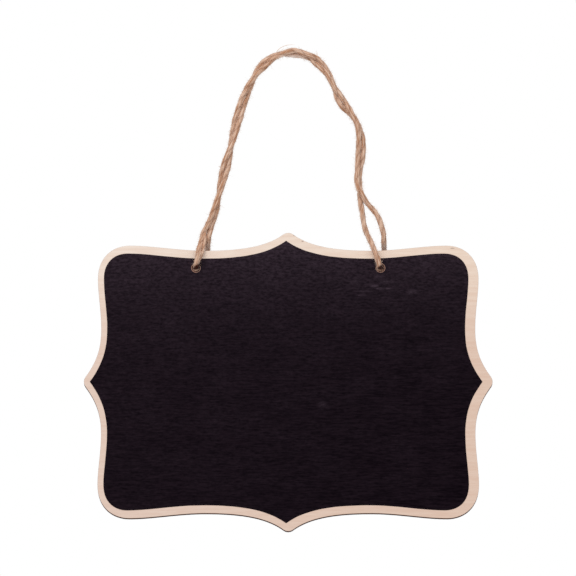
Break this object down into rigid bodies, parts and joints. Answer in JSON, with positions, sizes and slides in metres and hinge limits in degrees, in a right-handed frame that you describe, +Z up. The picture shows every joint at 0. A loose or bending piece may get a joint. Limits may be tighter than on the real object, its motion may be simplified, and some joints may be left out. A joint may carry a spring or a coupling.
{
  "type": "hanging chalkboard",
  "caption": "Small plaque-shaped plywood chalkboard with a black writing field and a bare wood border, hung on a loop of doubled jute twine.",
  "frame": {"origin": "where the loop hangs on its nail: the underside of the twine at the top, on the board's centre plane", "axes": "+Z up as it hangs, the writing field facing -Y, +X to the right of someone reading it"},
  "size_m": [0.204, 0.0135, 0.2449],
  "materials": {
    "veneer": "bare sanded plywood face",
    "core": "cut plywood edge, slightly browned",
    "blackboard": "matt black chalkboard paint with a faint horizontal grain",
    "twine": "natural two-ply jute, slightly hairy"
  },
  "bodies": {
    "hanger": {"twine_strand_a": "twine", "twine_strand_b": "twine"},
    "board": {"front_veneer": "veneer", "core_veneer": "core", "back_veneer": "veneer", "blackboard_coat": "blackboard", "lead_right": "twine", "lead_left_front": "twine", "lead_left_back": "twine", "twine_knot": "twine", "twine_tail_a": "twine", "twine_tail_b": "twine"}
  },
  "joints": [
    {"name": "board_swing", "type": "hinge", "parent": "hanger", "child": "board", "pos_m": [0, 0, -0.0886], "axis": [1, 0, 0], "range_deg": [-90, 90]}
  ]
}
